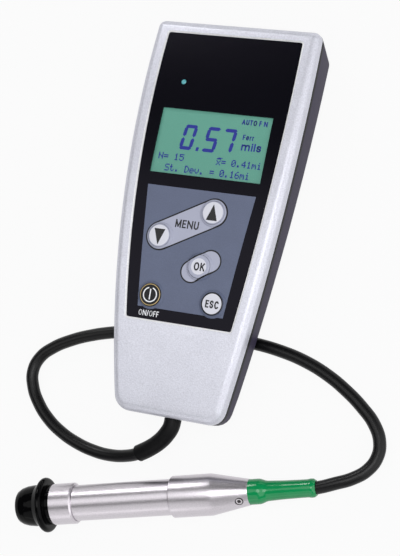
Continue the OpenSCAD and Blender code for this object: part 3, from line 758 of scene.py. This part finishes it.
class GAUGE_OT_cable(bpy.types.Operator):
    """Lays the probe cable with its bend sleeve and gland"""

    bl_idname = "gauge.cable"
    bl_label = "Cable"

    def execute(self, context):
        look = context.scene.gauge_probe
        jacket = glossy_plastic("cable_jacket_black", look.jacket, 0.32, 0.28)
        cable = self.tube("cable", CABLE_WAY, look.cable_d / 2)
        settle(cable, [jacket], "gauge", "cable_jacket")
        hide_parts("probe_cable")
        first, last = SLEEVE_POINTS
        sleeve_way = [SLEEVE_START] + CABLE_WAY[first:last + 1]
        sleeve = self.tube("cable_sleeve", sleeve_way, look.sleeve_d / 2)
        rubber = glossy_plastic("sleeve_rubber_black", look.jacket, 0.42, 0.15)
        settle(sleeve, [rubber], "gauge", "cable_jacket")
        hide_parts("bend_sleeve")
        gland = dress("cable_gland", rubber)
        return {"FINISHED"}

    def tube(self, name, way, radius):
        """Round tube along a smooth curve through points in millimetres."""
        curve = bpy.data.curves.new(name, "CURVE")
        curve.dimensions = "3D"
        curve.bevel_depth = radius
        curve.bevel_resolution = 8
        curve.resolution_u = 10
        curve.use_fill_caps = True
        spline = curve.splines.new("BEZIER")
        spline.bezier_points.add(len(way) - 1)
        for knot, point in zip(spline.bezier_points, way):
            knot.co = [value * MM for value in point]
            knot.handle_left_type = knot.handle_right_type = "AUTO"
        return add(name, curve)


class GAUGE_OT_housing(bpy.types.Operator):
    """Builds the silver front shell and finishes the rear shell, its door and screws"""

    bl_idname = "gauge.housing"
    bl_label = "Housing"

    def execute(self, context):
        look = context.scene.gauge_housing
        self.front(look)
        dress("rear_shell", self.seam_shadowed(look), crisp=40)
        dress("battery_door", moulded_plastic(
            "dark_shell_plastic", look.dark, SHELL_GRAIN, SHELL_DEPTH, SHELL_ROUGH, SHELL_EDGE))
        dress("case_screws", plain_metal("screw_steel", linear(150, 150, 155), 0.25))
        return {"FINISHED"}

    def seam_shadowed(self, look):
        """Plastic of the rear shell, with a painted black shadow along its parting line."""
        finish = Finish("rear_shell_plastic")
        _, y, z = finish.axes()
        seam = (FACE_R * FACE_R - y * y).root() + (CROWN_H - FACE_R - PART_DEPTH)
        pits, plain = eroded(finish, look.dark, SHELL_GRAIN)
        # Painted shadow: the black print colour below the parting line, down to the set depth.
        painted_seam_shadow = (seam - z).below(look.painted_seam_shadow, 0.3 * MM)
        return finish.shade(
            Base_Color=finish.mix(painted_seam_shadow, plain, look.print_black),
            Roughness=SHELL_ROUGH + 0.14 * pits, Specular_IOR_Level=0.2,
            Normal=finish.bump(pits, SHELL_DEPTH, SHELL_EDGE))

    def front(self, look):
        """Silver shell as closed rings, from the parting line over the face to the inside."""
        bottom = PART_DEPTH - SEAM / 2
        rings = [face_ring(housing_outline(PART_BREAK), bottom),
                 face_ring(housing_outline(0), bottom - PART_BREAK)]
        for i in range(11):
            angle = math.pi / 2 * i / 10
            rings.append(face_ring(housing_outline(EDGE_R * (1 - math.cos(angle))),
                                   EDGE_R * (1 - math.sin(angle))))
        lip = LIP_FLAT + look.lip_round
        edge, border = housing_outline(EDGE_R), panel_outline(lip)
        rings += [face_ring(blend_outline(edge, border, i / 10), 0) for i in range(1, 11)]
        lip_from = len(rings) - 1
        for i in range(1, 5):
            angle = math.pi / 2 * i / 4
            rings.append(face_ring(panel_outline(lip - look.lip_round * math.sin(angle)),
                                   PANEL_SINK * (1 - math.cos(angle))))
        lip_to = len(rings)
        inner = panel_outline(-PANEL_LEDGE)
        under = housing_outline(EDGE_R + 1.2 * MM)
        wall = housing_outline(WALL - INNER_SLACK)
        ledge_drop = PANEL_SINK + PANEL_T + PANEL_BED
        roof_drop = WALL + INNER_SLACK
        rings += [face_ring(panel_outline(PANEL_GAP + 0.02 * MM), PANEL_SINK + 0.02 * MM),
                  face_ring(panel_outline(PANEL_GAP), ledge_drop),
                  face_ring(inner, ledge_drop),
                  face_ring(inner, roof_drop)]
        rings += [face_ring(blend_outline(inner, under, i / 8), roof_drop) for i in range(1, 9)]
        rings += [face_ring(wall, EDGE_R + 0.4 * MM), face_ring(wall, bottom)]
        count = len(rings[0])
        faces = []
        finish_numbers = []
        for k in range(len(rings)):
            faces += ring_faces(k * count, (k + 1) % len(rings) * count, count)
            finish_numbers += [1 if lip_from <= k < lip_to else 0] * count
        shell = new_piece("silver_front_shell", [point for ring in rings for point in ring], faces)
        shell.data.flip_normals()
        # The lip gets a lighter copy of the silver paint, a painted highlight.
        settle(shell, [silver_paint(look.silver, "silver_shell_paint"),
                       silver_paint(look.lip, "lip_paint")], "gauge", "silver_shell")
        shell.data.polygons.foreach_set("material_index", finish_numbers)
        split_edges(shell, 40)
        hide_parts("front_shell")


class GAUGE_OT_panel(bpy.types.Operator):
    """Finishes the front panel and the keypad field, and prints their legends"""

    bl_idname = "gauge.panel"
    bl_label = "Front panel"

    def execute(self, context):
        look = context.scene.gauge_housing
        film = Finish("panel_film_black")
        weave, shade = film.mottle(0.4 * MM, 3.0, 20 * MM, 0.7)
        dress("overlay_panel", film.shade(
            Base_Color=film.tinted(look.panel, shade, 0.5, 1.6),
            Roughness=0.2 + 0.08 * weave, Specular_IOR_Level=0.15, Specular_Tint=(0.85, 0.8, 1.0),
            Normal=film.bump(weave, 0.004 * MM)))
        field = printed_film("keypad_film_print", look, 0.42, 0.35, 0.01 * MM)
        dress("keypad_sheet", field, crisp=24)
        white = print_ink("white_print", look.print_white)
        black = print_ink("black_print", look.print_black)
        sunk = -PANEL_SINK / MM
        for name, words, left, base, width, height, thick, ink, slot in (
                ("power_legend", "ON/OFF", -17.8, -42.75, 8.9, 2.3, 0.34, white, "key_white"),
                ("menu_legend", "MENU", -8.4, -5.65, 10.2, 3.35, 0.55, black, "key_black")):
            legend = lettering(name, words, left, base, width, height, thick, on_face,
                               sunk + PRINT_LOW, sunk + PRINT_HIGH)
            settle(legend, [ink], "gauge", slot)
        return {"FINISHED"}


class GAUGE_OT_keys(bpy.types.Operator):
    """Finishes the five keys and puts their signs on them"""

    bl_idname = "gauge.keys"
    bl_label = "Keys"

    def execute(self, context):
        look = context.scene.gauge_housing
        black = look.print_black
        bands = {
            "key_up": [(4.3, look.key_white)],
            "key_down": [(4.3, look.key_white)],
            "key_ok": [(3.3, look.key_white)],
            "key_power": [(4.75, black), (4.4, look.gold), (4.12, black)],
            "key_esc": [(4.6, black), (4.1, look.key_white)],
        }
        for node, rings in bands.items():
            film = printed_film(node + "_print", look, 0.36, 0.3, 0.008 * MM, KEYS[node], rings)
            dress(node, film, crisp=24)
        dark = print_ink("sign_black", tuple(black))
        pale = print_ink("sign_white", look.print_white)
        low = KEY_RISE / 2
        high = KEY_RISE + 0.02
        up_arrow = [(4.75, -1.25), (9.5, -1.25), (7.1, 5.4)]
        down_arrow = [(-16.6, -7.2), (-14.2, -13.75), (-11.85, -7.2)]
        signs = {
            "up": prism("up_sign", [up_arrow], on_face, low, high),
            "down": prism("down_sign", [down_arrow], on_face, low, high),
            "ok": lettering("ok_sign", "OK", 3.3, -21.95, 4.65, 3.3, 0.55, on_face, low, high),
            "esc": lettering("esc_sign", "ESC", 10.8, -35.95, 5.8, 3.05, 0.56, on_face, low, high),
        }
        for key, sign in signs.items():
            settle(sign, [dark], "key_" + key, "key_black")
        settle(self.power_sign(low, high), [pale], "key_power", "key_white")
        return {"FINISHED"}

    def power_sign(self, low, high):
        """Ring that is open at its top, with a bar in the opening."""
        x, y = KEYS["key_power"]
        outer, inner = 3.1, 2.62
        opening = math.radians(17)
        steps = 40
        sweep = 2 * (math.pi - opening)
        turns = [math.pi / 2 + opening + sweep * i / steps for i in range(steps + 1)]
        plates = []
        for turn, after in zip(turns, turns[1:]):
            corners = ((inner, turn), (outer, turn), (outer, after), (inner, after))
            plates.append([(x + radius * math.cos(angle), y + radius * math.sin(angle))
                           for radius, angle in corners])
        half_bar, bar_low, bar_high = 0.25, y - 2.0, y + 2.3
        bar = [(x - half_bar, bar_low), (x + half_bar, bar_low),
               (x + half_bar, bar_high), (x - half_bar, bar_high)]
        return prism("power_sign", plates + [bar], on_face, low, high)


class GAUGE_OT_display(bpy.types.Operator):
    """Finishes the display, its window and the lamp, and sets the reading"""

    bl_idname = "gauge.display"
    bl_label = "Display"

    SEGMENTS = {"0": "abcdef", "5": "acdfg", "7": "abc"}
    # Columns of the small letters, one byte each, the top dot in the lowest bit; x carries a bar
    DOTS = {
        " ": "0000000000", ".": "0060600000", "=": "1414141414", "0": "3E5149453E",
        "1": "00427F4000", "4": "1814127F10", "5": "2745454539", "6": "3C4A494930",
        "D": "7F4141221C", "N": "7F0408107F", "S": "4649494931", "e": "3854545418",
        "i": "00447D4000", "m": "7C04180478", "t": "043F444020", "v": "1C2040201C",
        "x": "4529112945",
    }

    def execute(self, context):
        look = context.scene.gauge_display
        glass = Finish("lcd_green")
        _, y, _ = glass.axes()
        pixels = glass.node("ShaderNodeTexNoise", {"noise_dimensions": "3D"},
                            {"Vector": glass.place(), "Scale": 1 / (0.3 * MM), "Detail": 1.0})
        glow = ((y - LCD_Y) / (30 * MM) + 0.5).held() * 0.5 + pixels * 0.5
        green = look.glass
        # Painted light: the display glows faintly, which evens out the shade cast on it by the
        # panel's edge; the green also gets lighter along y.
        dress("lcd_glass", glass.shade(
            Base_Color=glass.tinted(green, glow, 0.75, 0.85), Roughness=0.4 + 0.1 * pixels,
            Emission_Color=glass.tinted(green, glow, 0.95, 1.05), Emission_Strength=0.25,
            Normal=glass.bump(pixels, 0.002 * MM)))
        window = Finish("clear_window")
        dust = window.grain(3 * MM, 3.0)
        dress("display_window", window.shade(
            Base_Color=window.tinted((0.1, 0.11, 0.12), dust, 0.9, 1.1),
            Roughness=0.06 + 0.05 * dust, Alpha=0.035))
        lamp = Finish("lamp_lens")
        haze = lamp.grain(0.4 * MM, 2.0)
        dress("indicator_led", lamp.shade(
            Base_Color=lamp.tinted(look.lamp, haze, 0.85, 1.15), Roughness=0.2 + 0.1 * haze,
            Emission_Color=lamp.tinted(look.lamp, haze, 0.3, 0.5), Emission_Strength=0.35))
        dress("lcd_frame", plain_metal("frame_metal", linear(190, 192, 196), 0.3))
        ink = Finish("lcd_ink")
        film = ink.grain(0.25 * MM, 2.0)
        self.reading(ink.shade(Base_Color=ink.tinted(look.ink, film, 0.9, 1.12),
                               Roughness=0.5 + 0.1 * film))
        return {"FINISHED"}

    def reading(self, ink):
        """The large figures, the words beside them and the dotted lines below."""
        outlines = []
        for digit, left in (("0", -14.2), ("5", -4.1), ("7", 3.2)):
            outlines += self.digit(digit, left, 26.7, 5.7, 10.7)
        outlines.append([(-6.6, 26.7), (-5.4, 26.7), (-5.2, 28.3), (-6.4, 28.3)])
        outlines.append([(4.0, 24.75), (5.9, 24.75), (5.9, 25.05), (4.0, 25.05)])
        settle(prism("reading", outlines, on_display), [ink], "gauge", "lcd")
        for name, words, left, base, width, height, thick in (
                ("unit_word", "mils", 12.85, 29.0, 8.6, 3.3, 0.64),
                ("metal_word", "Ferr", 12.7, 33.4, 4.8, 2.25, 0.42),
                ("mode_words", "AUTO F N", 11.0, 39.7, 11.1, 2.2, 0.45)):
            word = lettering(name, words, left, base, width, height, thick, on_display)
            settle(word, [ink], "gauge", "lcd")
        for name, words, left, base, width, height in (
                ("count_line", "N= 15", -22.1, 21.9, 11.2, 2.8),
                ("mean_line", "x= 0.41mi", 3.5, 21.9, 19.5, 2.8),
                ("spread_line", "St. Dev. = 0.16mi", -18.3, 17.2, 37.1, 2.9)):
            squares = self.dots(words, left, base, width, height)
            settle(prism(name, squares, on_display), [ink], "gauge", "lcd")

    def dots(self, words, left, base, width, height):
        """Squares of words in a five by seven dot pattern."""
        pitch, rows, overlap = 6, 7, 0.1
        across = width / (pitch * len(words) - 1)
        upward = height / rows
        spread = 1 + 2 * overlap
        squares = []
        for place, letter in enumerate(words):
            for column, bits in enumerate(bytes.fromhex(self.DOTS[letter])):
                for row in range(rows):
                    if bits >> row & 1:
                        x = left + (pitch * place + column - overlap) * across
                        y = base + (rows - 1 - row - overlap) * upward
                        right, top = x + spread * across, y + spread * upward
                        squares.append([(x, y), (right, y), (right, top), (x, top)])
        return squares

    def digit(self, digit, left, base, width, height):
        """Outlines of a leaning seven segment digit."""
        bar = 0.74
        gap = 0.16
        slant = 0.12
        half = height / 2
        inset = bar + gap
        level = {"a": height, "g": half, "d": 0}
        shapes = []
        for segment in self.SEGMENTS[digit]:
            if segment in level:
                v = min(max(level[segment], bar), height - bar)
                shape = [(gap, v), (inset, v + bar), (width - inset, v + bar), (width - gap, v),
                         (width - inset, v - bar), (inset, v - bar)]
            else:
                u = bar if segment in "ef" else width - bar
                low = (half if segment in "bf" else bar) + gap
                high = (height - bar if segment in "bf" else half) - gap
                shape = [(u, low), (u - bar, low + bar), (u - bar, high - bar), (u, high),
                         (u + bar, high - bar), (u + bar, low + bar)]
            shapes.append([(left + u + slant * v, base + v) for u, v in shape])
        return shapes


class GAUGE_OT_probe(bpy.types.Operator):
    """Finishes the probe: cap, metal sleeves, set screw, boot and contact tip"""

    bl_idname = "gauge.probe"
    bl_label = "Probe"

    def execute(self, context):
        look = context.scene.gauge_probe
        metal = turned_metal("turned_light_metal", look.metal, 0.26, 0.15 * MM)
        for node in ("probe_collar", "probe_barrel", "probe_sleeve"):
            dress(node, metal, crisp=20)
        cap = glossy_plastic("cap_black", look.cap, 0.08, 0.08)
        for node in ("probe_cap", "cap_ring"):
            dress(node, cap, crisp=30)
        boot = glossy_plastic("boot_green", look.boot, 0.1, 0.5, edge=0)
        dress("cable_boot", boot, crisp=30)
        dress("grub_screw", self.set_screw())
        dress("contact_tip", turned_metal("tip_steel", linear(190, 188, 186), 0.16, 0.05 * MM))
        return {"FINISHED"}

    def set_screw(self):
        """Steel with painted shade: dark in the thread and in the socket."""
        finish = Finish("set_screw_steel")
        reach = finish.vectors("SUBTRACT", finish.place(), tuple(SCREW_AT * MM))
        deep = finish.along(SCREW_AXIS, reach)
        radius = (finish.along(reach, reach) - deep * deep).root()
        face = radius.below(SCREW_R * MM, 0.15 * MM)
        rim = face * (1 - radius.below(SOCKET_R * MM, 0.1 * MM))
        wear = finish.grain(0.4 * MM)
        bright = finish.tinted(linear(190, 186, 190), wear, 0.8, 1.15)
        # Painted shade: the socket and the ring outside the screw's face take the dark colour.
        return finish.shade(
            Base_Color=finish.mix(rim, linear(22, 20, 22), bright),
            Metallic=0.2 + 0.8 * rim, Roughness=0.25 + 0.2 * wear)


class GAUGE_OT_inside(bpy.types.Operator):
    """Finishes the pieces inside the housing and the probe"""

    bl_idname = "gauge.inside"
    bl_label = "Inside"

    def execute(self, context):
        steel = plain_metal("spring_steel", linear(170, 170, 172), 0.22)
        for node in ("board_screws", "battery_contacts", "tip_spring", "tip_plunger"):
            dress(node, steel)
        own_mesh(NODES["tip_spring"])
        dress("main_board", self.board())
        for nodes, name, colour, grain, depth, rough in (
                (("board_chips",), "chip_epoxy", (38, 38, 42), 0.2, 0.01, 0.45),
                (("buzzer",), "buzzer_black", (24, 24, 26), 0.3, 0.01, 0.4),
                (("tact_switches",), "switch_grey", (150, 150, 152), 0.2, 0.006, 0.4),
                (("cable_connector", "coil_bobbin", "spring_seat"), "connector_ivory",
                 (225, 218, 196), 0.3, 0.008, 0.42)):
            plastic = moulded_plastic(name, linear(*colour), grain * MM, depth * MM, rough)
            for node in nodes:
                dress(node, plastic)
        dress("battery_cells", self.cell())
        dress("guide_bush", turned_metal("bush_bronze", linear(178, 132, 78), 0.25))
        dress("sensor_coils", turned_metal("coil_copper", linear(184, 106, 62), 0.3))
        return {"FINISHED"}

    def board(self):
        """Solder mask over a faint pattern of tracks."""
        finish = Finish("board_mask")
        x, _, _ = finish.axes()
        tracks = (x / (0.6 * MM)).sine().size().below(0.35, 0.2)
        mask = finish.grain(1.5 * MM, 3.0)
        green = finish.tinted(linear(20, 84, 48), mask, 0.85, 1.15)
        colour = finish.mix(tracks * 0.4, green, linear(46, 120, 70))
        return finish.shade(Base_Color=colour, Roughness=0.3 + 0.15 * mask,
                            Normal=finish.bump(tracks, 0.02 * MM))

    def cell(self):
        """Plain wrapped cell: dark sleeve with a copper coloured end."""
        finish = Finish("cell_wrap")
        _, y, _ = finish.axes()
        band = y.below(24 * MM, 0.2 * MM)
        haze = finish.grain(4 * MM, 3.0)
        sleeve = finish.tinted(linear(40, 40, 44), haze, 0.9, 1.1)
        colour = finish.mix(band, sleeve, linear(176, 118, 66))
        return finish.shade(Base_Color=colour, Metallic=0.5, Roughness=0.26 + 0.1 * haze,
                            Normal=finish.bump(haze, 0.01 * MM))


class GAUGE_PT_sidebar(bpy.types.Panel):
    """Lists the gauge's settings and steps"""

    bl_idname = "GAUGE_PT_sidebar"
    bl_label = "Coating gauge"
    bl_space_type = "VIEW_3D"
    bl_region_type = "UI"
    bl_category = "Gauge"

    def draw(self, context):
        layout = self.layout
        for look_name in LOOKS:
            box = layout.box()
            look = getattr(context.scene, look_name)
            for setting in look.__annotations__:
                box.prop(look, setting)
        for step in STEPS:
            layout.operator(step.bl_idname)


LOOKS = {
    "gauge_housing": GaugeHousingLook,
    "gauge_display": GaugeDisplayLook,
    "gauge_probe": GaugeProbeLook,
    "gauge_studio": GaugeStudioLook,
}
STEPS = (GAUGE_OT_stage, GAUGE_OT_cable, GAUGE_OT_housing, GAUGE_OT_panel, GAUGE_OT_keys,
         GAUGE_OT_display, GAUGE_OT_probe, GAUGE_OT_inside)
CLASSES = (*LOOKS.values(), *STEPS, GAUGE_PT_sidebar)


def register():
    for cls in CLASSES:
        bpy.utils.register_class(cls)
    for look_name, cls in LOOKS.items():
        setattr(bpy.types.Scene, look_name, bpy.props.PointerProperty(type=cls))


def unregister():
    for look_name in LOOKS:
        delattr(bpy.types.Scene, look_name)
    for cls in reversed(CLASSES):
        bpy.utils.unregister_class(cls)


def main():
    register()
    bpy.ops.gauge.stage()
    bpy.ops.gauge.cable()
    bpy.ops.gauge.housing()
    bpy.ops.gauge.panel()
    bpy.ops.gauge.keys()
    bpy.ops.gauge.display()
    bpy.ops.gauge.probe()
    bpy.ops.gauge.inside()


if __name__ == "__main__":
    main()
